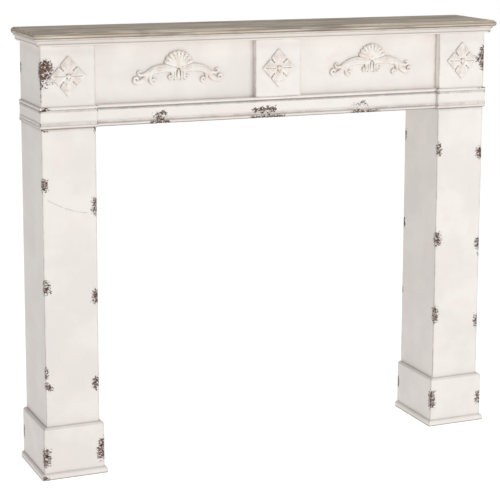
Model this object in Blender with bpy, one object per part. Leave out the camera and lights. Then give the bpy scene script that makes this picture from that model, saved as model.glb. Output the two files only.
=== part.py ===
"""Fireplace mantelpiece: a free-standing wooden surround with a frieze, two legs and cast ornaments.

The surround is made of thin boards with mitred corners, open at the back where it stands against a wall.
The origin is under the middle of its footprint: +X is to the right, -Y is the front and +Z is up.
All sizes are metres.
"""

import math

import bmesh
import bpy

# Overall sizes
HEIGHT = 1.000
LEGS_OUTER_WIDTH = 1.102
LEG_WIDTH = 0.123
LEG_DEPTH = 0.166
BOARD_THICKNESS = 0.012
CLEARANCE = 0.0003

# Shelf and the moulding under it
SHELF_THICKNESS = 0.014
SHELF_END_OVERHANG = 0.020
SHELF_FRONT_OVERHANG = 0.022
SHELF_QUIRK_DEPTH = 0.0025
SHELF_SHOULDER = 0.0035
SHELF_NOSE_TOP_INSET = 0.003
SHELF_NOSE_BOTTOM_INSET = 0.005
CROWN_HEIGHT = 0.016
CROWN_PROJECTION = 0.015
CROWN_FILLET = 0.0035
CROWN_COVE = 0.005
CROWN_FOOT_PROJECTION = 0.007
CROWN_SEAT = 0.030

# Frieze, with its three blocks
FRIEZE_HEIGHT = 0.181
FRIEZE_RECESS = 0.017
CENTRE_BLOCK_WIDTH = 0.112
MIDDLE_SHIFT = 0.0083

# Band moulding along the bottom of the frieze
BAND_HEIGHT = 0.049
BAND_NOSE_PROJECTION = 0.0045
BAND_FASCIA_PROJECTION = 0.0028
BAND_TOP_BEAD = 0.0073
BAND_STEP = 0.0056
BAND_STEP_PROJECTION = 0.0036
BAND_BOTTOM_BEAD = 0.0078
BAND_BOTTOM_FILLET = 0.0060
BAND_SETBACK = 0.0085

# Plinths at the feet
PLINTH_HEIGHT = 0.119
PLINTH_THICKNESS = 0.0085
PLINTH_BEVEL = 0.004
BASE_HEIGHT = 0.014
BASE_PROJECTION = 0.0055
BASE_ROUND = 0.005

# Cast ornaments
ROSETTE_WIDTH = 0.080
ROSETTE_HEIGHT = 0.089
ROSETTE_RELIEF = 0.008
ROSETTE_EDGE = 0.0022
SHELL_WIDTH = 0.216
SHELL_SHIFT = 0.0122
SHELL_RELIEF = 0.009
SHELL_EDGE = 0.0025
SHELL_RAISE = 0.0095

# Facets of the round shapes
ROUND_STEPS = 5
SHELL_CELL = 0.0028

# Places worked out from the sizes
BACK = (LEG_DEPTH + SHELF_FRONT_OVERHANG) / 2
LEG_FACE = BACK - LEG_DEPTH
BLOCK_FACE = LEG_FACE
FRIEZE_FACE = BLOCK_FACE + FRIEZE_RECESS
BAND_FACE = BLOCK_FACE + BAND_SETBACK
LEG_OUTER = LEGS_OUTER_WIDTH / 2
LEG_INNER = LEG_OUTER - LEG_WIDTH
BLOCK_OUTER = LEG_OUTER
BLOCK_INNER = LEG_INNER
CENTRE_HALF = CENTRE_BLOCK_WIDTH / 2
SHELF_BOTTOM = HEIGHT - SHELF_THICKNESS
CROWN_BOTTOM = SHELF_BOTTOM - CROWN_HEIGHT
FRIEZE_BOTTOM = CROWN_BOTTOM - FRIEZE_HEIGHT
BAND_TOP = FRIEZE_BOTTOM + BAND_HEIGHT
PANEL_MIDDLE_Z = (BAND_TOP + CROWN_BOTTOM) / 2
PANEL_MIDDLE_X = (CENTRE_HALF + BLOCK_INNER) / 2


def make_material(name, colour, roughness):
    """A plain Principled material of one colour, given as linear red, green and blue."""
    material = bpy.data.materials.new(name)
    material.use_nodes = True
    shader = material.node_tree.nodes["Principled BSDF"]
    shader.inputs["Base Color"].default_value = (*colour, 1.0)
    shader.inputs["Roughness"].default_value = roughness
    shader.inputs["Metallic"].default_value = 0.0
    material.diffuse_color = (*colour, 1.0)
    return material


def add_object(name, mesh_data, material):
    """Turns a bmesh into a named object with outward faces."""
    bmesh.ops.recalc_face_normals(mesh_data, faces=mesh_data.faces)
    mesh = bpy.data.meshes.new(name)
    mesh_data.to_mesh(mesh)
    mesh_data.free()
    mesh.materials.append(material)
    thing = bpy.data.objects.new(name, mesh)
    bpy.context.collection.objects.link(thing)
    return thing


def arc(centre, radius_out, radius_up, start, end, steps):
    """Points (out, up) of an elliptical arc between two angles in degrees."""
    points = []
    for step in range(steps + 1):
        angle = math.radians(start + (end - start) * step / steps)
        points.append((centre[0] + radius_out * math.cos(angle), centre[1] + radius_up * math.sin(angle)))
    return points


def direction(start, end):
    """Unit vector in plan from one point to another."""
    across, along = end[0] - start[0], end[1] - start[1]
    length = math.hypot(across, along)
    return across / length, along / length


def corner_turn(before, after):
    """1 at an outside corner, -1 at an inside corner, for a way that has its outer side on the right."""
    return round(before[0] * after[1] - before[1] * after[0])


def mitred_length(name, section, way, index, material):
    """One straight length of a moulding or board: its section swept from one corner of the way to the next.

    The section's points are (out, up): out is measured to the right of the way and up from the floor.
    An end at a corner is cut at 45 degrees, and an end of the whole way is cut square.
    What lies behind the way is cut square at an inside corner, where it butts against the next board.
    """
    start, end = way[index], way[index + 1]
    along = direction(start, end)
    outward = (along[1], -along[0])
    mitre_gap = CLEARANCE / math.sqrt(2)
    start_turn = corner_turn(direction(way[index - 1], start), along) if index > 0 else 0
    end_turn = corner_turn(along, direction(end, way[index + 2])) if index + 2 < len(way) else 0
    ends = []
    for point, turn, side in ((start, start_turn, -1), (end, end_turn, 1)):
        ring = []
        for out, up in section:
            mitred_out = max(out, 0.0) if turn < 0 else out
            shift = side * (mitred_out * turn - (mitre_gap if turn else 0.0))
            ring.append((
                point[0] + outward[0] * out + along[0] * shift,
                point[1] + outward[1] * out + along[1] * shift,
                up,
            ))
        ends.append(ring)
    mesh_data = bmesh.new()
    rings = [[mesh_data.verts.new(corner) for corner in ring] for ring in ends]
    count = len(section)
    for step in range(count):
        after = (step + 1) % count
        mesh_data.faces.new((rings[0][step], rings[0][after], rings[1][after], rings[1][step]))
    mesh_data.faces.new(rings[0])
    mesh_data.faces.new(rings[1])
    return add_object(name, mesh_data, material)


def mitred_run(names, section, way, material):
    """Mitred lengths along every stretch of a way, one named object each."""
    for index, name in enumerate(names):
        mitred_length(name, section, way, index, material)


def side_way(side, outer, inner, face):
    """Way around one leg or corner block, always with its outer faces on the right."""
    if side < 0:
        left, right = -outer, -inner
    else:
        left, right = inner, outer
    return [(left, BACK), (left, face), (right, face), (right, BACK)]


def side_names(base, side):
    """Names of the three pieces around one leg or corner block, in the order of its way."""
    label = "left" if side < 0 else "right"
    first, last = ("outer", "inner") if side < 0 else ("inner", "outer")
    return [f"{base}_{first}_{label}", f"{base}_front_{label}", f"{base}_{last}_{label}"]


def board_section(bottom, top):
    """Section of a flat board behind its way."""
    return [(-BOARD_THICKNESS, bottom), (0.0, bottom), (0.0, top), (-BOARD_THICKNESS, top)]


def make_shelf(material):
    """Flat shelf board with a moulded edge on the front and both ends, and a straight back."""
    nose_top = HEIGHT - SHELF_QUIRK_DEPTH
    nose_middle = (nose_top + SHELF_BOTTOM) / 2
    nose_half = (nose_top - SHELF_BOTTOM) / 2
    lower = arc((SHELF_NOSE_BOTTOM_INSET, nose_middle), -SHELF_NOSE_BOTTOM_INSET, nose_half, -90, 0, ROUND_STEPS)
    upper = arc((SHELF_NOSE_TOP_INSET, nose_middle), -SHELF_NOSE_TOP_INSET, nose_half, 0, 90, ROUND_STEPS)
    quirk_inset = SHELF_NOSE_TOP_INSET + CLEARANCE
    shoulder = (quirk_inset + SHELF_SHOULDER, nose_top)
    edge = lower + upper[1:]
    edge += arc(shoulder, -SHELF_SHOULDER, SHELF_QUIRK_DEPTH, 0, 90, ROUND_STEPS)
    mesh_data = bmesh.new()
    rings = []
    for inset, up in edge:
        half = BLOCK_OUTER + SHELF_END_OVERHANG - inset
        front = BLOCK_FACE - SHELF_FRONT_OVERHANG + inset
        corners = [(-half, BACK, up), (-half, front, up), (half, front, up), (half, BACK, up)]
        rings.append([mesh_data.verts.new(corner) for corner in corners])
    for below, above in zip(rings, rings[1:]):
        for step in range(4):
            after = (step + 1) % 4
            mesh_data.faces.new((below[step], below[after], above[after], above[step]))
    mesh_data.faces.new(rings[0])
    mesh_data.faces.new(rings[-1])
    add_object("mantel_shelf", mesh_data, material)


def crown_section():
    """Bed moulding under the shelf: fillet, cove and a round foot, with a flat seat on the boards below."""
    top = SHELF_BOTTOM - CLEARANCE
    cove_top = top - CROWN_FILLET
    cove_bottom = cove_top - CROWN_COVE
    shoulder = (CROWN_PROJECTION + CROWN_FOOT_PROJECTION) / 2
    section = [(-CROWN_SEAT, CROWN_BOTTOM), (CROWN_FOOT_PROJECTION, CROWN_BOTTOM)]
    section += arc(
        (CROWN_FOOT_PROJECTION, cove_bottom),
        shoulder - CROWN_FOOT_PROJECTION,
        cove_bottom - CROWN_BOTTOM,
        -75, 0, ROUND_STEPS,
    )
    section += arc((CROWN_PROJECTION, cove_bottom), shoulder - CROWN_PROJECTION, CROWN_COVE, 15, 75, ROUND_STEPS)
    section += [(CROWN_PROJECTION, cove_top), (CROWN_PROJECTION, top), (-CROWN_SEAT, top)]
    return section


def band_section(depth_behind):
    """Band moulding: bead, step, flat fascia, fillet and a bottom bead, with any thickness behind its way."""
    bead_bottom = BAND_TOP - BAND_TOP_BEAD
    step_bottom = bead_bottom - BAND_STEP
    fillet_bottom = FRIEZE_BOTTOM + BAND_BOTTOM_BEAD
    fillet_top = fillet_bottom + BAND_BOTTOM_FILLET
    section = arc(
        (CLEARANCE, FRIEZE_BOTTOM + BAND_BOTTOM_BEAD / 2),
        BAND_NOSE_PROJECTION - CLEARANCE, BAND_BOTTOM_BEAD / 2, -90, 60, ROUND_STEPS,
    )
    section += [(BAND_FASCIA_PROJECTION - BAND_STEP_PROJECTION / 2, fillet_bottom)]
    section += [(BAND_STEP_PROJECTION, fillet_bottom + CLEARANCE), (BAND_STEP_PROJECTION, fillet_top)]
    section += [(BAND_FASCIA_PROJECTION, fillet_top), (BAND_FASCIA_PROJECTION, step_bottom)]
    section += [(BAND_STEP_PROJECTION, step_bottom), (BAND_STEP_PROJECTION, bead_bottom - CLEARANCE)]
    section += [(BAND_FASCIA_PROJECTION - BAND_STEP_PROJECTION / 2, bead_bottom)]
    section += arc(
        (CLEARANCE, BAND_TOP - BAND_TOP_BEAD / 2),
        BAND_NOSE_PROJECTION - CLEARANCE, BAND_TOP_BEAD / 2, -60, 90, ROUND_STEPS,
    )
    if depth_behind > 0:
        section += [(-depth_behind, BAND_TOP), (-depth_behind, FRIEZE_BOTTOM)]
    return section


def plinth_section():
    """Plinth board around the foot of a leg, with a bevelled top edge."""
    bevel_top = PLINTH_HEIGHT
    bevel_bottom = PLINTH_HEIGHT - PLINTH_BEVEL
    bevelled_out = PLINTH_THICKNESS - PLINTH_BEVEL
    return [
        (CLEARANCE, 0.0), (PLINTH_THICKNESS, 0.0), (PLINTH_THICKNESS, bevel_bottom),
        (bevelled_out, bevel_top), (CLEARANCE, bevel_top),
    ]


def base_section():
    """Base moulding around a plinth, with a rounded top."""
    inner = PLINTH_THICKNESS + CLEARANCE
    outer = PLINTH_THICKNESS + BASE_PROJECTION
    section = [(inner, 0.0), (outer, 0.0)]
    section += arc((inner, BASE_HEIGHT - BASE_ROUND), outer - inner, BASE_ROUND, 0, 90, ROUND_STEPS)
    return section


def make_box(name, left, right, front, back, bottom, top, material):
    """A plain squared board or block."""
    mesh_data = bmesh.new()
    plan = [(left, front), (right, front), (right, back), (left, back)]
    lower = [mesh_data.verts.new((across, along, bottom)) for across, along in plan]
    upper = [mesh_data.verts.new((across, along, top)) for across, along in plan]
    for step in range(4):
        after = (step + 1) % 4
        mesh_data.faces.new((lower[step], lower[after], upper[after], upper[step]))
    mesh_data.faces.new(lower)
    mesh_data.faces.new(upper)
    add_object(name, mesh_data, material)


# Angles from a petal's middle to the middle of a side of the rosette, in degrees
PETAL_ANGLES = (0.0, 9.0, 19.0, 29.0, 36.0, 39.0)
NOTCH_ANGLE = 45.0
NOTCH_BOTTOM = 0.44
RIDGE_HEIGHTS = ((0.0, 1.0), (0.12, 0.96), (0.17, 0.70), (0.45, 0.84), (0.75, 0.62), (1.0, 0.30))
VALLEY_SHARE = 0.52


def rosette_reach(angle):
    """Distance from the rosette's centre to its outline at an angle from a petal's middle, as a share of its half size."""
    if angle == NOTCH_ANGLE:
        return NOTCH_BOTTOM
    turn = math.radians(angle)
    return 1.0 / (math.cos(turn) + math.sin(turn))


def make_rosette(name, across, face, material):
    """Square rosette set on its point: four ridged petals, a notch in each side and a round boss."""
    half_across, half_up = ROSETTE_WIDTH / 2, ROSETTE_HEIGHT / 2
    back = face - CLEARANCE
    offsets = list(PETAL_ANGLES) + [NOTCH_ANGLE] + [90.0 - angle for angle in reversed(PETAL_ANGLES[1:])]
    rays = [(quarter * 90.0 + offset, min(offset, 90.0 - offset)) for quarter in range(4) for offset in offsets]
    mesh_data = bmesh.new()
    middle = mesh_data.verts.new((across, back - ROSETTE_RELIEF, PANEL_MIDDLE_Z))
    rings = []
    for share, ridge in RIDGE_HEIGHTS[1:]:
        ring = []
        for bearing, angle in rays:
            turn = math.radians(bearing)
            reach = share * rosette_reach(angle)
            fall = (angle / NOTCH_ANGLE) ** 0.7
            in_boss = share <= RIDGE_HEIGHTS[1][0]
            level = ridge if in_boss else ridge * (1.0 - fall * (1.0 - VALLEY_SHARE))
            rise = max(ROSETTE_RELIEF * level, ROSETTE_EDGE)
            if share == 1.0:
                rise = ROSETTE_EDGE
            place_across = across + half_across * reach * math.sin(turn)
            place_up = PANEL_MIDDLE_Z + half_up * reach * math.cos(turn)
            ring.append(mesh_data.verts.new((place_across, back - rise, place_up)))
        rings.append(ring)
    base = [mesh_data.verts.new((vertex.co.x, back, vertex.co.z)) for vertex in rings[-1]]
    rings.append(base)
    count = len(rays)
    for step in range(count):
        mesh_data.faces.new((middle, rings[0][step], rings[0][(step + 1) % count]))
    for inner, outer in zip(rings, rings[1:]):
        for step in range(count):
            after = (step + 1) % count
            mesh_data.faces.new((inner[step], outer[step], outer[after], inner[after]))
    mesh_data.faces.new(base)
    add_object(name, mesh_data, material)


# The shell ornament is drawn on a pattern 216 units wide, in the units of the pattern: across and up.
# It is mirror-symmetric, and each stroke is a raised ridge along a line with a half width at each point.
PATTERN_WIDTH = 216.0
PATTERN_MIDDLE_UP = 30.0
PATTERN_BOTTOM = -14.0
PATTERN_TOP = 74.0
SHELL_HINGE = (0.0, 31.5)
SHELL_LOBES = 9
SHELL_LOBE_TURN = 17.5
SHELL_LOBE_REACH = 30.0
SHELL_LOBE_ROUND = 5.9


def curve_points(start, leave, arrive, end, steps):
    """Points along a cubic curve between two points, with its two handles."""
    points = []
    for step in range(steps + 1):
        t = step / steps
        weights = ((1 - t) ** 3, 3 * t * (1 - t) ** 2, 3 * t * t * (1 - t), t ** 3)
        points.append(tuple(
            sum(weight * point[axis] for weight, point in zip(weights, (start, leave, arrive, end)))
            for axis in range(2)
        ))
    return points


def volute_points(centre, radius, end_radius, start, sweep, steps):
    """Points along a spiral that winds in around its centre; a positive sweep is anticlockwise."""
    points = []
    for step in range(1, steps + 1):
        t = step / steps
        angle = math.radians(start + sweep * t)
        reach = radius + (end_radius - radius) * t
        points.append((centre[0] + reach * math.cos(angle), centre[1] + reach * math.sin(angle)))
    return points


def stroke(points, widths, heights):
    """A raised ridge: its line, with half widths and heights spread evenly over the line's points."""
    def spread(values, t):
        place = t * (len(values) - 1)
        before = min(int(place), len(values) - 2)
        return values[before] + (values[before + 1] - values[before]) * (place - before)

    last = len(points) - 1
    return [(point, spread(widths, step / last), spread(heights, step / last)) for step, point in enumerate(points)]


def shell_strokes():
    """All ridges of the right half of the shell ornament, with the shell's own lobes."""
    strokes = []
    for lobe in range(SHELL_LOBES):
        angle = math.radians(90 + SHELL_LOBE_TURN * (lobe - (SHELL_LOBES - 1) / 2))
        tip = (
            SHELL_HINGE[0] + SHELL_LOBE_REACH * math.cos(angle),
            SHELL_HINGE[1] + SHELL_LOBE_REACH * math.sin(angle),
        )
        strokes.append(stroke([SHELL_HINGE, tip], (3.5, SHELL_LOBE_ROUND), (0.8, 1.0)))
    arm = curve_points((10, 25), (34, 31.5), (56, 29), (78, 14.5), 8)
    strokes.append(stroke(arm, (7, 8.8, 8.8, 7.5, 5), (0.8, 0.85, 0.9, 0.8, 0.7)))
    scroll = curve_points((70, 18), (77, 5), (87, -2), (99, -2), 5)
    scroll += volute_points((99, 5), 7, 2.5, -90, 290, 7)
    strokes.append(stroke(scroll, (5, 6, 4.5, 3.6, 3, 2.4), (0.7, 0.75, 0.75, 0.7, 0.6)))
    tendril = curve_points((77, 17), (84, 14), (89, 13), (93.5, 16), 3)
    tendril += volute_points((91.5, 20), 4.2, 2.6, -50, 190, 4)
    strokes.append(stroke(tendril, (4, 3, 2.4, 2), (0.65, 0.6, 0.5)))
    volute = curve_points((63, 22), (68, 14), (68, 8), (66, 0.8), 4)
    volute += volute_points((59.5, 0.8), 6.5, 2.0, 0, -400, 9)
    strokes.append(stroke(volute, (5, 3.6, 3.2, 2.8, 2.4), (0.75, 0.7, 0.65)))
    strokes.append(stroke([(57, 28), (49, 18.5)], (4, 2.2), (0.8, 0.55)))
    foot = curve_points((14, 29), (16, 23), (12.5, 17), (13.2, 8), 4)
    foot += volute_points((18.6, 8), 5.4, 2.2, 180, 300, 7)
    strokes.append(stroke(foot, (6, 4.0, 3.2, 2.9, 2.3), (0.8, 0.75, 0.65)))
    arch = curve_points((7.3, 2.6), (8.5, 19), (8, 29.5), (0, 31), 5)
    strokes.append(stroke(arch, (3.0, 2.6, 3.0), (0.65, 0.75, 0.8)))
    strokes.append(stroke([(0, 24), (0, 6)], (2.2, 4.6), (0.7, 0.6)))
    return strokes


def relief_at(strokes, across, up):
    """How far inside the outline a point lies, in pattern units, and how high the relief is there."""
    inside, height = -PATTERN_WIDTH, 0.0
    for line in strokes:
        for (start, start_width, start_height), (end, end_width, end_height) in zip(line, line[1:]):
            run, climb = end[0] - start[0], end[1] - start[1]
            t = ((across - start[0]) * run + (up - start[1]) * climb) / (run * run + climb * climb)
            t = min(max(t, 0.0), 1.0)
            away = math.hypot(across - start[0] - run * t, up - start[1] - climb * t)
            width = start_width + (end_width - start_width) * t
            inside = max(inside, width - away)
            if away < width:
                crown = math.sqrt(1.0 - (away / width) ** 2)
                height = max(height, (start_height + (end_height - start_height) * t) * (0.3 + 0.7 * crown))
    return inside, height


def cell_outline(corners, node_inside):
    """Corner and crossing keys of the part of one square cell that lies inside the outline."""
    outline = []
    for step in range(4):
        here, there = corners[step], corners[(step + 1) % 4]
        if node_inside[here] > 0:
            outline.append((here,))
        if (node_inside[here] > 0) != (node_inside[there] > 0):
            outline.append(tuple(sorted((here, there))))
    return outline


def make_shell_ornament(name, across_middle, face, material):
    """Scallop shell between two leafy scrolls: a relief on a fine square grid, cut off at its outline."""
    strokes = shell_strokes()
    unit = SHELL_WIDTH / PATTERN_WIDTH
    cell = SHELL_CELL / unit
    columns = math.ceil(PATTERN_WIDTH / 2 / cell) + 1
    rows = math.ceil((PATTERN_TOP - PATTERN_BOTTOM) / cell)
    back = face - CLEARANCE
    node_inside, node_height = {}, {}
    for column in range(-columns, columns + 1):
        for row in range(rows + 1):
            inside, height = relief_at(strokes, abs(column) * cell, PATTERN_BOTTOM + row * cell)
            node_inside[column, row] = inside
            node_height[column, row] = max(height * SHELL_RELIEF, SHELL_EDGE)
    mesh_data = bmesh.new()
    fronts, backs = {}, {}

    def vertex_pair(key):
        if key not in fronts:
            if len(key) == 1:
                column, row = key[0]
                rise = node_height[key[0]]
            else:
                first, second = node_inside[key[0]], node_inside[key[1]]
                share = min(max(first / (first - second), 0.05), 0.95)
                column = key[0][0] + (key[1][0] - key[0][0]) * share
                row = key[0][1] + (key[1][1] - key[0][1]) * share
                rise = SHELL_EDGE
            across = across_middle + column * SHELL_CELL
            up = PANEL_MIDDLE_Z + SHELL_RAISE + (PATTERN_BOTTOM + row * cell - PATTERN_MIDDLE_UP) * unit
            fronts[key] = mesh_data.verts.new((across, back - rise, up))
            backs[key] = mesh_data.verts.new((across, back, up))
        return fronts[key], backs[key]

    for column in range(-columns, columns):
        for row in range(rows):
            corners = [(column, row), (column + 1, row), (column + 1, row + 1), (column, row + 1)]
            outline = cell_outline(corners, node_inside)
            if len(outline) < 3:
                continue
            pairs = [vertex_pair(key) for key in outline]
            mesh_data.faces.new([front for front, _ in pairs])
            mesh_data.faces.new([behind for _, behind in reversed(pairs)])
    partner = {front: backs[key] for key, front in fronts.items()}
    rims = [edge for edge in mesh_data.edges if edge.is_boundary and edge.verts[0] in partner]
    for edge in rims:
        first, second = edge.verts
        mesh_data.faces.new((first, second, partner[second], partner[first]))
    hidden = [face for face in mesh_data.faces if all(abs(vertex.co.y - back) < CLEARANCE / 10 for vertex in face.verts)]
    bmesh.ops.recalc_face_normals(mesh_data, faces=mesh_data.faces)
    bmesh.ops.dissolve_faces(mesh_data, faces=hidden, use_verts=False)
    bmesh.ops.dissolve_degenerate(mesh_data, dist=1e-6, edges=mesh_data.edges)
    add_object(name, mesh_data, material)


def make_upper_part(paint):
    """Crown moulding, frieze board, the three blocks and the band moulding along the bottom.

    The band breaks around the corner blocks and runs straight between them, under the centre block.
    """
    mitred_run(
        ["crown_moulding_left", "crown_moulding_front", "crown_moulding_right"],
        crown_section(),
        [(-BLOCK_OUTER, BACK), (-BLOCK_OUTER, BLOCK_FACE), (BLOCK_OUTER, BLOCK_FACE), (BLOCK_OUTER, BACK)],
        paint,
    )
    top = CROWN_BOTTOM - CLEARANCE
    make_box(
        "frieze_board",
        CLEARANCE - BLOCK_INNER, BLOCK_INNER - CLEARANCE, FRIEZE_FACE, FRIEZE_FACE + BOARD_THICKNESS,
        FRIEZE_BOTTOM, top, paint,
    )
    make_box(
        "centre_block",
        MIDDLE_SHIFT - CENTRE_HALF, MIDDLE_SHIFT + CENTRE_HALF, BLOCK_FACE, FRIEZE_FACE - CLEARANCE,
        BAND_TOP + CLEARANCE, top, paint,
    )
    for side in (-1, 1):
        mitred_run(
            side_names("corner_block", side),
            board_section(FRIEZE_BOTTOM, top),
            side_way(side, BLOCK_OUTER, BLOCK_INNER, BLOCK_FACE),
            paint,
        )
    band_way = [
        (-BLOCK_OUTER, BACK), (-BLOCK_OUTER, BLOCK_FACE), (-BLOCK_INNER, BLOCK_FACE), (-BLOCK_INNER, BAND_FACE),
        (BLOCK_INNER, BAND_FACE), (BLOCK_INNER, BLOCK_FACE), (BLOCK_OUTER, BLOCK_FACE), (BLOCK_OUTER, BACK),
    ]
    panel_depth = FRIEZE_FACE - BAND_FACE - CLEARANCE
    band_depths = {
        "band_side_left": 0.0, "band_front_left": 0.0, "band_return_left": 0.0, "band_panel": panel_depth,
        "band_return_right": 0.0, "band_front_right": 0.0, "band_side_right": 0.0,
    }
    for index, (name, depth) in enumerate(band_depths.items()):
        mitred_length(name, band_section(depth), band_way, index, paint)


def make_legs(paint):
    """Two legs, each three boards around an open back, with plinth boards and base mouldings at the foot."""
    leg_top = FRIEZE_BOTTOM - CLEARANCE
    for side in (-1, 1):
        way = side_way(side, LEG_OUTER, LEG_INNER, LEG_FACE)
        mitred_run(side_names("leg", side), board_section(0.0, leg_top), way, paint)
        mitred_run(side_names("plinth", side), plinth_section(), way, paint)
        mitred_run(side_names("base_moulding", side), base_section(), way, paint)


def make_ornaments(cast):
    """Rosettes on the three blocks and a shell ornament on each panel between them.

    The middle parts were set by hand, a little to the right of the true middle.
    """
    corner_middle = (BLOCK_OUTER + BLOCK_INNER) / 2
    make_rosette("rosette_left", -corner_middle, BLOCK_FACE, cast)
    make_rosette("rosette_centre", MIDDLE_SHIFT, BLOCK_FACE, cast)
    make_rosette("rosette_right", corner_middle, BLOCK_FACE, cast)
    make_shell_ornament("shell_ornament_left", SHELL_SHIFT - PANEL_MIDDLE_X, FRIEZE_FACE, cast)
    make_shell_ornament("shell_ornament_right", SHELL_SHIFT + PANEL_MIDDLE_X, FRIEZE_FACE, cast)


def main():
    """Clears the scene and builds the whole surround."""
    for thing in list(bpy.data.objects):
        bpy.data.objects.remove(thing, do_unlink=True)
    paint = make_material("aged_cream_paint", (0.85, 0.82, 0.78), 0.6)
    washed_wood = make_material("washed_brown_wood", (0.34, 0.29, 0.24), 0.6)
    cast = make_material("painted_casting", (0.86, 0.83, 0.79), 0.55)
    make_shelf(washed_wood)
    make_upper_part(paint)
    make_legs(paint)
    make_ornaments(cast)


main()
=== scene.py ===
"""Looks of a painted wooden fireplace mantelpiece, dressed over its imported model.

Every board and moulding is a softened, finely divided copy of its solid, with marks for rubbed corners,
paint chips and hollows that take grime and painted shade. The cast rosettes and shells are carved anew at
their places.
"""

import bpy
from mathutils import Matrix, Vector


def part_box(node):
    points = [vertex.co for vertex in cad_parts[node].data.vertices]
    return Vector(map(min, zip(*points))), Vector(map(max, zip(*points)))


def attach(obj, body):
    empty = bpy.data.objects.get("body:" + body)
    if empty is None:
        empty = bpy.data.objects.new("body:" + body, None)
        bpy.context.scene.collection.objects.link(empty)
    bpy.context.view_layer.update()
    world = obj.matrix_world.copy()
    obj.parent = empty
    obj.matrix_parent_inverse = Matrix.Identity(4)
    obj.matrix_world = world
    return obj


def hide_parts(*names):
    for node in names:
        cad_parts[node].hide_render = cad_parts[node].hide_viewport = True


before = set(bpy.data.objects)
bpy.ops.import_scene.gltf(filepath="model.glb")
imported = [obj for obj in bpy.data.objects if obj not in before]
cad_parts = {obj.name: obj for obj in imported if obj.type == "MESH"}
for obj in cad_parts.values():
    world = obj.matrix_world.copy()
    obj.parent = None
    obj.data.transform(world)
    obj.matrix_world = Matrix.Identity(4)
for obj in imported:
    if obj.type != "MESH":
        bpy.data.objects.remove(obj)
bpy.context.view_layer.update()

import logging
import math
from collections.abc import Sequence
from dataclasses import dataclass, field
from enum import Enum

import bmesh
import bpy
import numpy as np
from mathutils import Matrix, Vector
from mathutils.bvhtree import BVHTree

LOG = logging.getLogger("mantelpiece")
MM = 0.001
BODY = "root"


class Slot(Enum):
    """Material slots of the record."""

    SHELF = "washed_wood"
    BOARDS = "painted_wood"
    CASTINGS = "painted_casting"


class Along(Enum):
    """Direction that brush marks and grain run in, as the stretch of a pattern on X, Y and Z."""

    LEVEL = (0.12, 1.0, 1.0)
    UPRIGHT = (1.0, 1.0, 0.12)
    DEEP = (1.0, 0.12, 1.0)


def linear(hex_colour: str) -> tuple[float, float, float, float]:
    """Turns an sRGB hex colour into linear red, green, blue and alpha.

    Args:
        hex_colour: Six hex digits, such as "F0EAE4".

    Returns:
        Linear colour with full alpha.
    """
    parts = [int(hex_colour[start:start + 2], 16) / 255 for start in (0, 2, 4)]
    curve = [part / 12.92 if part <= 0.04045 else ((part + 0.055) / 1.055) ** 2.4 for part in parts]
    return (*curve, 1.0)


def plug(tree: bpy.types.NodeTree, socket: bpy.types.NodeSocket, value: object) -> None:
    """Links another socket to an input, or sets the input where the value is constant.

    Args:
        tree: Node tree of both.
        socket: The input.
        value: Socket or constant.
    """
    if isinstance(value, bpy.types.NodeSocket):
        tree.links.new(value, socket)
    else:
        socket.default_value = value


def add_node(
    tree: bpy.types.NodeTree,
    kind: str,
    inputs: Sequence[object] | dict[str | int, object] = (),
    output: int | str = 0,
    **settings: object,
) -> bpy.types.NodeSocket:
    """Adds one shader node with its settings and links.

    Args:
        tree: Node tree to add to.
        kind: Blender's name of the node type, after its "ShaderNode".
        inputs: Constants or sockets, in the order of the inputs or by their names or indices.
        output: Name or index of the wanted output.
        settings: Properties of the node by name.

    Returns:
        The wanted output.
    """
    node = tree.nodes.new(f"ShaderNode{kind}")
    for key, value in settings.items():
        setattr(node, key, value)
    for key, value in inputs.items() if isinstance(inputs, dict) else enumerate(inputs):
        plug(tree, node.inputs[key], value)
    return node.outputs[output]


# Settings of a map range that fades softly from 0 to 1 between two values.
FADE = {"interpolation_type": "SMOOTHSTEP"}


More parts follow.
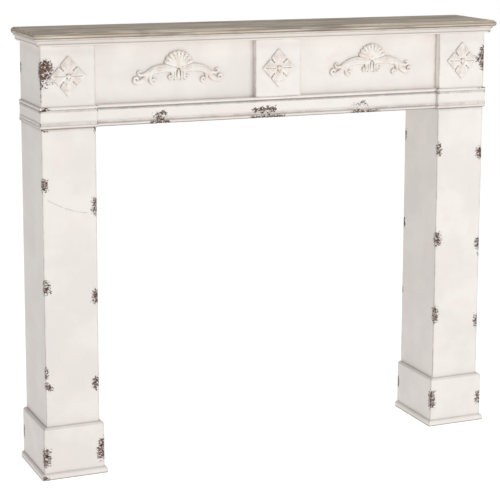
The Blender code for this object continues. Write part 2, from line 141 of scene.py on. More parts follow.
class Recipe:
    """A material being mixed: its tree, its shader and the patterns that the finishes share."""

    def __init__(self, name: str) -> None:
        """Starts an empty material with a Principled shader.

        Args:
            name: Name of the material.
        """
        self.material = bpy.data.materials.new(name)
        self.material.use_nodes = True
        self.tree = self.material.node_tree
        self.shader = self.tree.nodes["Principled BSDF"]
        self.place = self.add("TexCoord", output="Object")

    def add(
        self,
        kind: str,
        inputs: Sequence[object] | dict[str | int, object] = (),
        output: int | str = 0,
        **settings: object,
    ) -> bpy.types.NodeSocket:
        """Adds a node to this material.

        Args:
            kind: Blender's name of the node type, after its "ShaderNode".
            inputs: Constants or sockets, in the order of the inputs or by their names or indices.
            output: Name or index of the wanted output.
            settings: Properties of the node by name.

        Returns:
            The wanted output.
        """
        return add_node(self.tree, kind, inputs, output, **settings)

    def spots(
        self,
        size_mm: float,
        detail: float = 3.0,
        roughness: float = 0.55,
        stretch: Sequence[float] = (1, 1, 1),
    ) -> bpy.types.NodeSocket:
        """Scatters soft spots of a real size.

        Args:
            size_mm: Size of a spot in millimetres.
            detail: Number of finer layers.
            roughness: Strength of the finer layers.
            stretch: Factors on X, Y and Z, below 1 to draw the spots out that way.

        Returns:
            The pattern, mostly between 0.3 and 0.7.
        """
        mapped = self.add("Mapping", {"Vector": self.place, "Scale": tuple(stretch)})
        values = {"Vector": mapped, "Scale": 1000 / size_mm, "Detail": detail, "Roughness": roughness}
        return self.add("TexNoise", values, "Fac")

    def line(self, value: object, middle: object, width: float, core: float) -> bpy.types.NodeSocket:
        """Draws a soft line where one value comes close to another.

        Args:
            value: Value that runs across the line.
            middle: Value at the middle of the line.
            width: Distance from the middle at which the line has faded out.
            core: Distance up to which it is full.

        Returns:
            The line, from 0 to 1.
        """
        off = self.add("Math", (value, middle), operation="SUBTRACT")
        away = self.add("Math", (off,), operation="ABSOLUTE")
        return self.add("MapRange", (away, width, core), **FADE)

    def coat(self, ground: object, *layers: tuple[object, float, object]) -> object:
        """Lays colours over one another.

        Args:
            ground: Hex colour or socket at the bottom.
            layers: For each layer its pattern, its strength, and its hex colour or socket.

        Returns:
            The colour that results.
        """
        for pattern, strength, tone in layers:
            under, over = (linear(colour) if isinstance(colour, str) else colour for colour in (ground, tone))
            share = self.add("Math", (pattern, strength), operation="MULTIPLY")
            ground = self.add("Mix", {0: share, 6: under, 7: over}, 2, data_type="RGBA")
        return ground

    def emboss(self, *layers: tuple[bpy.types.NodeSocket, float]) -> bpy.types.NodeSocket:
        """Lays reliefs over one another.

        Args:
            layers: For each layer its pattern and its depth in millimetres.

        Returns:
            The normal that results.
        """
        below: dict[str, object] = {}
        for pattern, depth_mm in layers:
            normal = self.add("Bump", {"Height": pattern, "Distance": depth_mm * MM} | below)
            below = {"Normal": normal}
        return normal

    def finish(self, **values: object) -> bpy.types.Material:
        """Plugs the results into the shader.

        Args:
            values: Constants or sockets by the shader's input names, with underscores for the spaces.

        Returns:
            The finished material.
        """
        for key, value in values.items():
            plug(self.tree, self.shader.inputs[key.replace("_", " ")], value)
        return self.material


@dataclass(frozen=True)
class Scratch:
    """Hairline scratch, a shallow curve across the front of the left leg."""

    start: float = -0.543
    end: float = -0.440
    face: float = -0.071
    height: float = 0.636
    slope: float = -0.664
    bend: float = 2.91
    tone: str = "C6B6A8"
    strength: float = 0.62
    width: float = 1.8 * MM
    core: float = 0.4 * MM
    start_fade: float = 6 * MM
    end_fade: float = 10 * MM
    face_fade: float = 2 * MM

    def draw(self, mix: Recipe) -> bpy.types.NodeSocket:
        """Draws the broken line of the scratch.

        Args:
            mix: Material being mixed.

        Returns:
            The line, from 0 to 1.
        """
        across, deep_shade_and_grime, high = (mix.add("SeparateXYZ", (mix.place,), axis) for axis in "XYZ")
        along = mix.add("Math", (across, self.start), operation="SUBTRACT")
        steepness = mix.add("Math", (along, self.bend, self.slope), operation="MULTIPLY_ADD")
        curve = mix.add("Math", (steepness, along, self.height), operation="MULTIPLY_ADD")
        length = self.end - self.start
        line = mix.line(high, curve, self.width, self.core)
        fades = (
            (mix.spots(7, 3), 0.30, 0.55),
            (along, 0.0, self.start_fade),
            (along, length, length - self.end_fade),
            (deep_shade_and_grime, self.face + self.face_fade, self.face),
        )
        for fade in fades:
            share = mix.add("MapRange", fade, **FADE)
            line = mix.add("Math", (line, share), operation="MULTIPLY")
        return line


@dataclass(frozen=True)
class ChippedPaint:
    """Matt cream emulsion brushed over dark-stained softwood.

    The eye gets a slightly uneven off-white, thin brown-grey grime with painted shade in every hollow, grime
    along the corners, and ragged chips down to brown wood. Each dark line or band across the mouldings has
    its height, its strength
    and its width in millimetres: faint lines at the joints are grime, strong lines and the bands on and under
    the crown are painted shade.
    """

    name: str
    along: Along
    cream: str = "F2EDE7"
    cream_shade: str = "ECE6E1"
    blush: str = "F1E6E1"
    # Brown-grey of the grime and of the painted shade.
    dirt_and_shade: str = "97897D"
    wood: str = "75594A"
    wood_dark: str = "2B211D"
    primer: str = "FBF9F6"
    flake: tuple[float, float, float] = (0.65, 1.0, 1.0)
    # Dark lines and bands by height: the faint ones at the joints (0.0145, 0.1190, 0.8380) are grime; the
    # faint ones in the band's profile (0.8050, 0.8285) are grime with painted shade; the strong line under
    # the band (0.7903), the line at the foot (0.0010), the lines and broad band on the crown (0.9745 to
    # 0.9825) and the wide band under the crown (0.9640) are painted shade.
    dirt_and_shade_lines: tuple[tuple[float, float, float], ...] = (
        (0.0010, 0.80, 2.2),
        (0.0145, 0.10, 1.2),
        (0.1190, 0.12, 1.2),
        (0.7903, 0.90, 2.6),
        (0.8050, 0.12, 1.4),
        (0.8285, 0.16, 1.4),
        (0.8380, 0.20, 1.2),
        (0.9640, 0.10, 26.0),
        (0.9745, 0.75, 2.2),
        (0.9780, 0.26, 11.0),
        (0.9825, 0.55, 1.9),
    )
    band_core: float = 0.2
    # Strength of the darkening in hollows, grime with painted shade.
    hollow_dirt_and_shade: float = 0.10
    corner_dirt: float = 0.42
    scratch: Scratch = Scratch()
    gloss: float = 0.35

    def build(self) -> bpy.types.Material:
        """Mixes the material."""
        mix = Recipe(self.name)
        clouds = mix.add("MapRange", (mix.spots(110, 4), 0.38, 0.62), **FADE)
        warmth = mix.add("MapRange", (mix.spots(60, 3), 0.52, 0.70), **FADE)
        chips, edges = self.flake_off(mix)
        colour = mix.coat(
            self.cream,
            (clouds, 1.0, self.cream_shade),
            (warmth, 0.7, self.blush),
            # Grime, with painted shade in the hollows and in lines and bands along the band, the foot and the
            # crown.
            (self.gather_dirt_and_shade(mix), 1.0, self.dirt_and_shade),
            (self.scratch.draw(mix), self.scratch.strength, self.scratch.tone),
            (edges, 0.8, self.primer),
            (chips, 1.0, self.bare_wood(mix)),
        )
        strokes = mix.spots(2.6, 4, 0.6, self.along.value)
        paint_left = mix.add("Math", (1.0, chips), operation="SUBTRACT")
        return mix.finish(
            Base_Color=colour,
            Roughness=mix.add("Math", (chips, 0.25, 0.56), operation="MULTIPLY_ADD"),
            Specular_IOR_Level=self.gloss,
            Normal=mix.emboss((strokes, 0.10), (mix.spots(0.9, 2), 0.03), (paint_left, 0.45)),
        )

    def bare_wood(self, mix: Recipe) -> object:
        """Colours the wood under the chips, with darker stain and flecks of primer.

        Args:
            mix: Material being mixed.

        Returns:
            The colour.
        """
        stain = mix.add("MapRange", (mix.spots(3.4, 4, 0.7, self.flake), 0.50, 0.60), **FADE)
        flecks = mix.add("MapRange", (mix.spots(3.2, 3, 0.6), 0.57, 0.62), **FADE)
        return mix.coat(self.wood, (stain, 1.0, self.wood_dark), (flecks, 1.0, self.primer))

    def gather_dirt_and_shade(self, mix: Recipe) -> object:
        """Gathers grime and painted shade in the hollows, grime on the rubbed corners, and the grime and
        painted shade lines and bands across the mouldings.

        Args:
            mix: Material being mixed.

        Returns:
            The grime and painted shade, from 0 to 1.
        """
        # Darker where short rays are blocked, broken up by spots: grime in the hollows with painted shade.
        ragged = mix.add("Math", (mix.spots(9, 3), 0.5, -0.25), operation="MULTIPLY_ADD")
        hollow = mix.add("Attribute", output="Fac", attribute_name="hollow")
        hollow = mix.add("Math", (hollow, ragged), operation="ADD")
        patches = mix.add("MapRange", (mix.spots(28, 5, 0.7), 0.42, 0.62), **FADE)
        patches = mix.add("Math", (patches, 0.55, 0.45), operation="MULTIPLY_ADD")
        corner = mix.add("Attribute", output="Fac", attribute_name="arris")
        corner = mix.add("Math", (corner, 2.0), operation="POWER")
        corner = mix.add("Math", (corner, patches), operation="MULTIPLY")
        hollow = mix.add("MapRange", (hollow, 0.35, 1.0), **FADE)
        layers = [(hollow, self.hollow_dirt_and_shade), (corner, self.corner_dirt)]
        height = mix.add("SeparateXYZ", (mix.place,), "Z")
        # Dark lines and bands by height: grime in the joints, painted shade under the band, at the foot and
        # on and under the crown.
        for line_height, strength, width_mm in self.dirt_and_shade_lines:
            width = width_mm * MM
            layers.append((mix.line(height, line_height, width, self.band_core * width), strength))
        dirt_and_shade = 0.0
        for pattern, strength in layers:
            share = mix.add("Math", (pattern, strength), operation="MULTIPLY")
            dirt_and_shade = mix.add("Math", (dirt_and_shade, share), operation="MAXIMUM")
        return dirt_and_shade

    def flake_off(self, mix: Recipe) -> tuple[bpy.types.NodeSocket, bpy.types.NodeSocket]:
        """Breaks the paint off in ragged flakes where the piece is marked as chipped.

        Args:
            mix: Material being mixed.

        Returns:
            The bare wood and the pale edge around it, each from 0 to 1.
        """
        chip = mix.add("Attribute", output="Fac", attribute_name="chip")
        ragged = mix.add("Math", (mix.spots(3.8, 5, 0.72, self.flake), 3.4, -1.12), operation="MULTIPLY_ADD")
        gap = mix.add("Math", (chip, ragged), operation="SUBTRACT")
        most = mix.add("Math", (chip, 2.0), operation="MULTIPLY")
        gap = mix.add("Math", (gap, most), operation="MINIMUM")
        edge = mix.add("MapRange", (gap, -0.16, -0.02), **FADE)
        nearby = mix.add("MapRange", (chip, 0.02, 0.2), **FADE)
        bare = mix.add("MapRange", (gap, 0.0, 0.05), **FADE)
        return bare, mix.add("Math", (edge, nearby), operation="MULTIPLY")


@dataclass(frozen=True)
class GlazedCasting:
    """Cast resin ornament under the same cream paint, wiped with a thin brown-grey glaze.

    The eye gets soft off-white forms drawn with fine dark lines, glazing with painted shade, in their hollows
    and around their outline.
    """

    name: str = "cream_paint_on_cast_resin"
    cream: str = "F3EEE8"
    blush: str = "F0E6E0"
    tan: str = "E6DACC"
    # Brown-grey of the glazing wash and of the painted shade in the hollows and along the outline.
    glaze_and_shade: str = "83766B"
    roughness: float = 0.52
    gloss: float = 0.4

    def build(self) -> bpy.types.Material:
        """Mixes the material."""
        mix = Recipe(self.name)
        ragged = mix.add("Math", (mix.spots(6, 3), 0.5, -0.25), operation="MULTIPLY_ADD")
        hollow = mix.add("Attribute", output="Fac", attribute_name="hollow")
        hollow = mix.add("Math", (hollow, ragged), operation="ADD")
        colour = mix.coat(
            self.cream,
            (mix.add("MapRange", (mix.spots(26, 3), 0.42, 0.66), **FADE), 1.0, self.blush),
            (mix.add("MapRange", (mix.spots(15, 4), 0.50, 0.64), **FADE), 0.8, self.tan),
            # Glazing wash with painted shade in the hollows and along the outline.
            (mix.add("MapRange", (hollow, 0.25, 0.95), **FADE), 0.85, self.glaze_and_shade),
        )
        return mix.finish(
            Base_Color=colour,
            Roughness=self.roughness,
            Specular_IOR_Level=self.gloss,
            Normal=mix.emboss((mix.spots(1.2, 3), 0.05)),
        )


@dataclass(frozen=True)
class WashedWood:
    """Softwood board with a worn grey-brown wash.

    The eye gets long darker and paler streaks along the board, painted shade with grime in the quirk, painted
    shade along the lower nose, and a rubbed nose.
    Each painted shade line along the edge has its height and its strength.
    """

    name: str = "worn_grey_brown_wash_on_pine"
    base: str = "C3B5A2"
    pale: str = "E2D8CA"
    dark: str = "94877A"
    # Dark brown of the painted shade, with grime, in the hollows and along the nose.
    deep_shade_and_grime: str = "5A4C42"
    rubbed: str = "BDB4A9"
    nose_shade_and_grime_lines: tuple[tuple[float, float], ...] = ((0.9940, 0.60), (0.9880, 0.75))
    line_width: float = 1.5 * MM
    line_core: float = 0.3

    def build(self) -> bpy.types.Material:
        """Mixes the material."""
        mix = Recipe(self.name)
        broad = mix.spots(12, 4, 0.6, (0.04, 1.0, 1.0))
        fine = mix.spots(3.0, 5, 0.65, (0.02, 1.0, 1.0))
        pores = mix.spots(1.0, 3, 0.6, (0.1, 1.0, 1.0))
        hollow = mix.add("Attribute", output="Fac", attribute_name="hollow")
        corner = mix.add("Attribute", output="Fac", attribute_name="arris")
        patches = mix.add("MapRange", (mix.spots(24, 5, 0.7), 0.35, 0.58), **FADE)
        height = mix.add("SeparateXYZ", (mix.place,), "Z")
        lines = []
        # Painted shade lines along the nose: in the quirk (0.9940), with grime, and along its lower round
        # (0.9880).
        for place, strength in self.nose_shade_and_grime_lines:
            line = mix.line(height, place, self.line_width, self.line_core * self.line_width)
            lines.append((line, strength, self.deep_shade_and_grime))
        colour = mix.coat(
            self.base,
            (mix.add("MapRange", (broad, 0.46, 0.60), **FADE), 1.0, self.dark),
            (mix.add("MapRange", (fine, 0.50, 0.62), **FADE), 0.85, self.pale),
            (mix.add("MapRange", (mix.spots(90, 4), 0.50, 0.68), **FADE), 0.5, self.dark),
            (mix.add("Math", (corner, patches), operation="MULTIPLY"), 0.7, self.rubbed),
            # Darker where short rays are blocked: painted shade with some grime in the hollows.
            (mix.add("MapRange", (hollow, 0.25, 0.7), **FADE), 1.0, self.deep_shade_and_grime),
            *lines,
        )
        return mix.finish(
            Base_Color=colour,
            Roughness=mix.add("Math", (fine, 0.3, 0.42), operation="MULTIPLY_ADD"),
            Normal=mix.emboss((fine, 0.12), (pores, 0.05)),
        )


@dataclass(frozen=True)
class StudioPaper:
    """Matt white floor, lit from below like a light table so that it stays white around the object."""

    name: str = "white_studio_paper"
    tone: str = "A8A8A8"
    glow_tone: str = "FFFFFF"
    glow: float = 0.86
    roughness: float = 0.9

    def build(self) -> bpy.types.Material:
        """Mixes the material."""
        mix = Recipe(self.name)
        return mix.finish(
            Base_Color=linear(self.tone),
            Roughness=self.roughness,
            Emission_Color=linear(self.glow_tone),
            Emission_Strength=self.glow,
            Normal=mix.emboss((mix.spots(6, 2), 0.02)),
        )


@dataclass(frozen=True)
class Chip:
    """A stretch where the paint has come off, as a soft capsule from one point to another."""

    start: tuple[float, float, float]
    end: tuple[float, float, float]
    radius: float
    depth: float = 1.0


# Front corners of the corner blocks and legs, in X and Y.
LEFT_CORNER = (-0.551, -0.072)
RIGHT_CORNER = (0.551, -0.072)


def chip_up(corner: tuple[float, float], low: float, high: float, radius: float, depth: float = 1.0) -> Chip:
    """A chip along an upright corner.

    Args:
        corner: X and Y of the corner.
        low: Height of its lower end.
        high: Height of its upper end.
        radius: Reach of the chip around the corner.
        depth: Strength, 1 for a full chip.

    Returns:
        The chip.
    """
    return Chip((*corner, low), (*corner, high), radius, depth)


CHIPS = (
    Chip((0.536, -0.0765, 0.8375), (0.5545, -0.0765, 0.8375), 0.004),
    Chip((-0.545, -0.072, 0.911), (-0.540, -0.072, 0.925), 0.023, 1.5),
    Chip((-0.544, -0.072, 0.886), (-0.530, -0.072, 0.896), 0.016, 0.6),
    chip_up(LEFT_CORNER, 0.880, 0.930, 0.009, 0.9),
    chip_up(LEFT_CORNER, 0.850, 0.872, 0.004, 0.7),
    chip_up((-0.551, 0.090), 0.902, 0.916, 0.009),
    chip_up(RIGHT_CORNER, 0.890, 0.926, 0.018, 1.1),
    Chip((0.534, -0.072, 0.905), (0.545, -0.072, 0.920), 0.012, 0.9),
    Chip((-0.297, -0.0675, 0.790), (-0.258, -0.0675, 0.791), 0.0095, 1.15),
    Chip((-0.288, -0.0675, 0.804), (-0.268, -0.0675, 0.812), 0.012, 0.85),
    Chip((-0.052, -0.0675, 0.790), (0.024, -0.0675, 0.790), 0.0085, 1.15),
    Chip((-0.046, -0.0675, 0.808), (0.000, -0.0675, 0.808), 0.012),
    Chip((0.200, -0.0675, 0.790), (0.268, -0.0675, 0.790), 0.0085, 1.15),
    Chip((0.206, -0.0675, 0.808), (0.240, -0.0675, 0.812), 0.009, 0.65),
    Chip((0.428, -0.072, 0.832), (0.428, -0.072, 0.838), 0.006),
    Chip((-0.428, -0.073, 0.831), (-0.428, -0.073, 0.836), 0.0045, 0.9),
    Chip((-0.431, -0.073, 0.789), (-0.425, -0.070, 0.790), 0.0055),
    Chip((-0.549, -0.075, 0.832), (-0.536, -0.075, 0.834), 0.007),
    Chip((-0.549, -0.072, 0.786), (-0.538, -0.072, 0.785), 0.006),
    Chip((-0.430, -0.072, 0.781), (-0.428, -0.072, 0.782), 0.005),
    chip_up((-0.547, -0.072), 0.660, 0.673, 0.0145),
    chip_up((-0.430, -0.072), 0.602, 0.624, 0.0150),
    chip_up((-0.546, -0.072), 0.431, 0.444, 0.0165),
    chip_up((-0.432, -0.072), 0.402, 0.416, 0.0155),
    chip_up(LEFT_CORNER, 0.236, 0.250, 0.0105),
    Chip((-0.549, -0.072, 0.214), (-0.541, -0.072, 0.210), 0.012),
    chip_up((-0.434, -0.072), 0.202, 0.216, 0.0155),
    chip_up((-0.5555, -0.0805), 0.041, 0.062, 0.0175),
    chip_up((-0.4235, -0.0805), 0.042, 0.070, 0.0185, 1.05),
    Chip((-0.562, -0.086, 0.003), (-0.552, -0.086, 0.003), 0.009),
    chip_up((-0.5595, 0.090), 0.056, 0.072, 0.012),
    chip_up((0.432, -0.072), 0.680, 0.700, 0.0130, 0.9),
    chip_up((0.546, -0.072), 0.672, 0.682, 0.0160, 1.1),
    chip_up((0.434, -0.072), 0.461, 0.477, 0.0165),
    chip_up((0.547, -0.072), 0.443, 0.456, 0.0150),
    chip_up(RIGHT_CORNER, 0.419, 0.424, 0.0075),
    chip_up((0.431, -0.072), 0.268, 0.292, 0.0150),
    chip_up(RIGHT_CORNER, 0.242, 0.264, 0.015),
    chip_up((0.4225, -0.0805), 0.054, 0.080, 0.0160),
    chip_up((0.5560, -0.0805), 0.050, 0.066, 0.0140),
    chip_up((0.428, 0.092), 0.698, 0.713, 0.0105),
    chip_up((0.428, 0.092), 0.474, 0.490, 0.0105),
    chip_up((0.428, 0.092), 0.302, 0.309, 0.0075),
    chip_up((0.4195, 0.092), 0.060, 0.075, 0.0105),
)


def vertex_places(mesh: bpy.types.Mesh) -> np.ndarray:
    """Reads the places of all vertices of a mesh.

    Args:
        mesh: Mesh to read.

    Returns:
        One row of X, Y and Z for each vertex.
    """
    places = np.empty(len(mesh.vertices) * 3)
    mesh.vertices.foreach_get("co", places)
    return places.reshape(-1, 3)


def keep_marks(mesh: bpy.types.Mesh, **marks: np.ndarray) -> None:
    """Keeps marks on the vertices of a mesh, for its material to read.

    Args:
        mesh: Mesh to mark.
        marks: A value for each vertex, by the name of the mark.
    """
    for name, values in marks.items():
        mark = mesh.attributes.new(name, "FLOAT", "POINT")
        mark.data.foreach_set("value", values.astype(np.float32))


class Bench:
    """Workbench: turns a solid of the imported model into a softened, finely divided and marked piece."""

    SAME_PLACE = 0.01 * MM
    SAME_PLANE_DEGREES = 1.0
    SOFTENED_DEGREES = 40.0
    # Edges shorter than this many spacings stay whole.
    SHORTEST_RUN = 1.6
    PARALLEL = 0.97
    FAR_SIDE = -0.5
    # Edges are cut in groups whose lengths differ by less than this many spacings.
    GROUP_RUN = 8
    CHIP_FALL = 0.7
    # A point is a full hollow once this many of its low rays meet a surface.
    RAYS_FOR_HOLLOW = 3
    RAYS = 6
    RAY_LIFT = 0.45
    RAY_REACH = 3 * MM
    RAY_START = 0.5 * MM

    def __init__(self) -> None:
        """Gathers the surfaces of all solids, to find the hollows between them."""
        corners: list[Vector] = []
        faces: list[list[int]] = []
        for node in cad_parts.values():
            first = len(corners)
            corners += [vertex.co.copy() for vertex in node.data.vertices]
            faces += [[first + index for index in polygon.vertices] for polygon in node.data.polygons]
        self.surfaces = BVHTree.FromPolygons(corners, faces)

    def copy(self, node: str, name: str) -> bpy.types.Object:
        """Copies a solid and merges its loose triangles.

        Args:
            node: Name of the solid.
            name: Name of the copy.

        Returns:
            The copy.
        """
        thing = bpy.data.objects.new(name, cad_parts[node].data.copy())
        bpy.context.collection.objects.link(thing)
        self.pick(thing)
        bpy.ops.object.mode_set(mode="EDIT")
        bpy.ops.mesh.select_all(action="SELECT")
        bpy.ops.mesh.remove_doubles(threshold=self.SAME_PLACE)
        bpy.ops.mesh.dissolve_limited(angle_limit=math.radians(self.SAME_PLANE_DEGREES))
        bpy.ops.object.mode_set(mode="OBJECT")
        return thing

    def pick(self, thing: bpy.types.Object) -> None:
        """Makes one object the only selected one.

        Args:
            thing: Object to select.
        """
        bpy.ops.object.select_all(action="DESELECT")
        thing.select_set(True)
        bpy.context.view_layer.objects.active = thing

    def soften(self, thing: bpy.types.Object, width: float) -> None:
        """Rounds the sharp corners.

        Args:
            thing: Piece to work on.
            width: Width of the rounding.
        """
        bevel = thing.modifiers.new("soft corners", "BEVEL")
        bevel.width = width
        bevel.segments = 2
        bevel.limit_method = "ANGLE"
        bevel.angle_limit = math.radians(self.SOFTENED_DEGREES)
        self.pick(thing)
        bpy.ops.object.modifier_apply(modifier=bevel.name)

    def divide(
        self, thing: bpy.types.Object, axis: Vector, spacing: float, outward: Vector | None = None
    ) -> None:
        """Cuts all long edges that run along one axis into short ones.

        Args:
            thing: Piece to work on.
            axis: Direction of the edges.
            spacing: Distance between the new points.
            outward: Side that shows; edges of the far side are then left whole.
        """
        self.pick(thing)
        bpy.ops.object.mode_set(mode="EDIT")
        bpy.ops.mesh.select_mode(type="EDGE")
        bpy.ops.mesh.select_all(action="DESELECT")
        work = bmesh.from_edit_mesh(thing.data)
        groups: dict[int, list[bmesh.types.BMEdge]] = {}
        for edge in work.edges:
            run = edge.verts[1].co - edge.verts[0].co
            if run.length < self.SHORTEST_RUN * spacing or abs(run.normalized().dot(axis)) < self.PARALLEL:
                continue
            facing = [1.0 if outward is None else face.normal.dot(outward) for face in edge.link_faces]
            if any(share < self.FAR_SIDE for share in facing):
                continue
            groups.setdefault(round(run.length / (self.GROUP_RUN * spacing)), []).append(edge)
        jobs = []
        for edges in groups.values():
            wanted = {self.key(edge.verts[0].co, edge.verts[1].co) for edge in edges}
            jobs.append((wanted, round(max(edge.calc_length() for edge in edges) / spacing) - 1))
        for wanted, cuts in jobs:
            work = bmesh.from_edit_mesh(thing.data)
            for edge in work.edges:
                edge.select_set(self.key(edge.verts[0].co, edge.verts[1].co) in wanted)
            bmesh.update_edit_mesh(thing.data)
            bpy.ops.mesh.subdivide(number_cuts=max(cuts, 1))
            bpy.ops.mesh.select_all(action="DESELECT")
        bpy.ops.object.mode_set(mode="OBJECT")

    @staticmethod
    def key(first: Vector, last: Vector) -> tuple:
        """Names an edge by the places of its ends."""
        ends = sorted(tuple(round(value / (0.001 * MM)) for value in end) for end in (first, last))
        return tuple(ends)

    def smooth(self, thing: bpy.types.Object, degrees: float = 35.0) -> None:
        """Shades a piece smooth apart from its sharp edges, with its flats kept flat.

        Args:
            thing: Piece to work on.
            degrees: Angle from which an edge stays sharp.
        """
        self.pick(thing)
        bpy.ops.object.shade_smooth_by_angle(angle=math.radians(degrees))
        weighted = thing.modifiers.new("flat faces", "WEIGHTED_NORMAL")
        weighted.keep_sharp = True
        bpy.ops.object.modifier_apply(modifier=weighted.name)

    def mark(self, thing: bpy.types.Object, sharp_degrees: float) -> None:
        """Marks the corners, chips and hollows of a piece on its vertices.

        Args:
            thing: Piece to work on.
            sharp_degrees: Turn between two faces from which their edge counts as a corner.
        """
        mesh = thing.data
        places = vertex_places(mesh)
        arris = np.zeros(len(places))
        work = bmesh.new()
        work.from_mesh(mesh)
        sharp = math.radians(sharp_degrees)
        for edge in work.edges:
            if len(edge.link_faces) == 2 and edge.calc_face_angle_signed(0.0) > sharp:
                for vertex in edge.verts:
                    arris[vertex.index] = 1.0
        work.free()
        chip = np.zeros(len(places))
        for spot in CHIPS:
            start, end = np.array(spot.start), np.array(spot.end)
            run = end - start
            share = np.clip((places - start) @ run / (run @ run), 0, 1)
            away = np.linalg.norm(places - start - share[:, None] * run, axis=1)
            chip = np.maximum(chip, spot.depth * np.clip(1 - away / spot.radius, 0, 1) ** self.CHIP_FALL)
        # Share of short rays that are blocked; the paints darken by it as grime, glazing and painted shade.
        hollow = np.array([self.blocked(vertex.co, vertex.normal) for vertex in mesh.vertices])
        keep_marks(mesh, arris=arris, chip=chip, hollow=hollow)

    def blocked(self, place: Vector, normal: Vector) -> float:
        """Share of the short rays from a point that meet another surface.

        Args:
            place: Point on a surface.
            normal: Its normal.

        Returns:
            A share from 0 to 1.
        """
        side = normal.orthogonal().normalized()
        other = normal.cross(side)
        start = place + normal * self.RAY_START
        found = 0
        for step in range(self.RAYS):
            turn = math.tau * step / self.RAYS
            ray = (normal * self.RAY_LIFT + side * math.cos(turn) + other * math.sin(turn)).normalized()
            if self.surfaces.ray_cast(start, ray, self.RAY_REACH)[0] is not None:
                found += 1
        return min(1.0, found / self.RAYS_FOR_HOLLOW)

    def deliver(self, thing: bpy.types.Object, node: str, slot: Slot, finish: bpy.types.Material) -> None:
        """Dresses a finished piece and puts it in the place of its solid.

        Args:
            thing: Finished piece.
            node: Solid that it stands for.
            slot: Material slot of the record; not used.
            finish: Its material.
        """
        thing.data.materials.clear()
        thing.data.materials.append(finish)
        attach(thing, BODY)
        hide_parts(node)
        LOG.info("%s: %d faces", thing.name, len(thing.data.polygons))


X_AXIS = Vector((1, 0, 0))
Y_AXIS = Vector((0, 1, 0))
Z_AXIS = Vector((0, 0, 1))


@dataclass
class Boarding:
    """Flat boards: softened corners, then points close enough to hold the marks of wear."""

    bench: Bench
    finish: bpy.types.Material
    soft_width: float = 0.8 * MM
    spacing: float = 3.5 * MM
    corner_degrees: float = 15.0

    def dress(self, node: str, outward: Vector) -> bpy.types.Object:
        """Makes one board.

        Args:
            node: Name of its solid.
            outward: Side that shows.

        Returns:
            The finished board.
        """
        thing = self.bench.copy(node, f"painted_{node}")
        self.bench.soften(thing, self.soft_width)
        level = Y_AXIS if abs(outward.x) > 0.5 else X_AXIS
        self.bench.divide(thing, Z_AXIS, self.spacing)
        self.bench.divide(thing, level, self.spacing, outward)
        self.bench.smooth(thing)
        self.bench.mark(thing, self.corner_degrees)
        self.bench.deliver(thing, node, Slot.BOARDS, self.finish)
        return thing


@dataclass
class Moulding:
    """Run mouldings: their own sections, with points along the run to hold the marks of wear."""

    bench: Bench
    finish: bpy.types.Material
    spacing: float = 3.0 * MM
    flat_spacing: float = 4.0 * MM
    smooth_degrees: float = 40.0
    corner_degrees: float = 50.0

    def dress(self, node: str, outward: Vector) -> bpy.types.Object:
        """Makes one length of moulding.

        Args:
            node: Name of its solid.
            outward: Side that shows.

        Returns:
            The finished moulding.
        """
        thing = self.bench.copy(node, f"painted_{node}")
        level = Y_AXIS if abs(outward.x) > 0.5 else X_AXIS
        self.bench.divide(thing, level, self.spacing)
        self.bench.divide(thing, Z_AXIS, self.flat_spacing, outward)
        self.bench.smooth(thing, self.smooth_degrees)
        self.bench.mark(thing, self.corner_degrees)
        self.bench.deliver(thing, node, Slot.BOARDS, self.finish)
        return thing


@dataclass
class Shelf:
    """Shelf board with its moulded edge."""

    bench: Bench
    finish: bpy.types.Material
    node: str = "mantel_shelf"
    spacing: float = 7 * MM
    smooth_degrees: float = 50.0
    corner_degrees: float = 25.0

    def build(self) -> None:
        """Makes the shelf."""
        thing = self.bench.copy(self.node, "washed_mantel_shelf")
        self.bench.divide(thing, X_AXIS, self.spacing)
        self.bench.divide(thing, Y_AXIS, self.spacing, Z_AXIS)
        self.bench.smooth(thing, self.smooth_degrees)
        self.bench.mark(thing, self.corner_degrees)
        self.bench.deliver(thing, self.node, Slot.SHELF, self.finish)


@dataclass
class UpperPart:
    """Crown moulding, frieze, blocks and the band along the bottom."""

    bench: Bench
    level_paint: bpy.types.Material

    def build(self) -> None:
        """Makes all its boards and mouldings."""
        front = Boarding(self.bench, self.level_paint)
        for node in ("frieze_board", "centre_block"):
            front.dress(node, -Y_AXIS)
        runs = Moulding(self.bench, self.level_paint)
        for node in ("crown_moulding_front", "band_panel"):
            runs.dress(node, -Y_AXIS)
        for side, label in ((-1, "left"), (1, "right")):
            front.dress(f"corner_block_front_{label}", -Y_AXIS)
            front.dress(f"corner_block_outer_{label}", side * X_AXIS)
            front.dress(f"corner_block_inner_{label}", -side * X_AXIS)
            runs.dress(f"crown_moulding_{label}", side * X_AXIS)
            runs.dress(f"band_front_{label}", -Y_AXIS)
            runs.dress(f"band_side_{label}", side * X_AXIS)
            runs.dress(f"band_return_{label}", -side * X_AXIS)


@dataclass
class Leg:
    """One leg, with its plinth and base moulding."""

    bench: Bench
    side: int
    upright_paint: bpy.types.Material
    level_paint: bpy.types.Material

    def build(self) -> None:
        """Makes its nine pieces."""
        label = "left" if self.side < 0 else "right"
        faces = {"outer": self.side * X_AXIS, "front": -Y_AXIS, "inner": -self.side * X_AXIS}
        for place, outward in faces.items():
            Boarding(self.bench, self.upright_paint).dress(f"leg_{place}_{label}", outward)
            Boarding(self.bench, self.level_paint).dress(f"plinth_{place}_{label}", outward)
            Moulding(self.bench, self.level_paint).dress(f"base_moulding_{place}_{label}", outward)


class Form(Enum):
    """What a carved ridge stands for, which sets how its surface is cut."""

    FLUTE = "flute of the shell"
    LEAF = "leafy arm"
    SCROLL = "scroll with a hollow along it"
    PLAIN = "plain round ridge"


